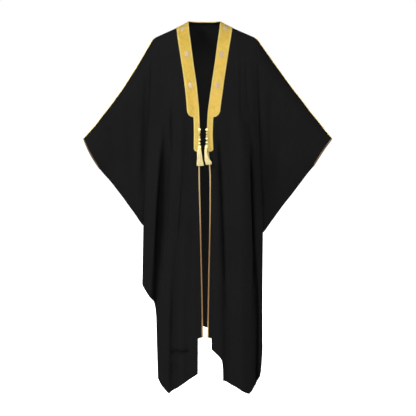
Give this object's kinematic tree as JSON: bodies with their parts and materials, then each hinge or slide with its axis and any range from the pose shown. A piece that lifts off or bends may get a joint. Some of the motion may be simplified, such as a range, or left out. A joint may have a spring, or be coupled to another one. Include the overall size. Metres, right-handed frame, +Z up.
{
  "type": "bisht cloak",
  "caption": "Open-fronted, ankle-length black cloak with wide sleeves, embroidered gold neck band, gold front edging and two tassels, in its worn shape with hollow inside.",
  "frame": {"origin": "base of the neck, midway between the shoulders", "axes": "+X to the right as seen from the front, +Y to the back, +Z up along the garment's length"},
  "size_m": [0.9842, 0.2732, 1.4619],
  "materials": {
    "black_cloth": "fine black worsted, soft dull sheen",
    "gold_band": "gold metal-thread embroidery",
    "gold_braid": "narrow gold braid",
    "pale_gold_thread": "pale gold silk thread"
  },
  "bodies": {
    "root": {"front_left": "black_cloth", "front_right": "black_cloth", "back": "black_cloth", "sleeve_left": "black_cloth", "sleeve_right": "black_cloth", "band_left": "gold_band", "band_right": "gold_band", "band_neck": "gold_band", "neck_piping": "gold_braid", "edging_left": "gold_braid", "edging_right": "gold_braid", "sleeve_braid_left": "gold_braid", "sleeve_braid_right": "gold_braid", "cuff_braid_left": "gold_braid", "cuff_braid_right": "gold_braid", "bead_string_left": "pale_gold_thread", "bead_string_right": "pale_gold_thread", "tassel_left": "pale_gold_thread", "tassel_right": "pale_gold_thread"}
  },
  "joints": []
}
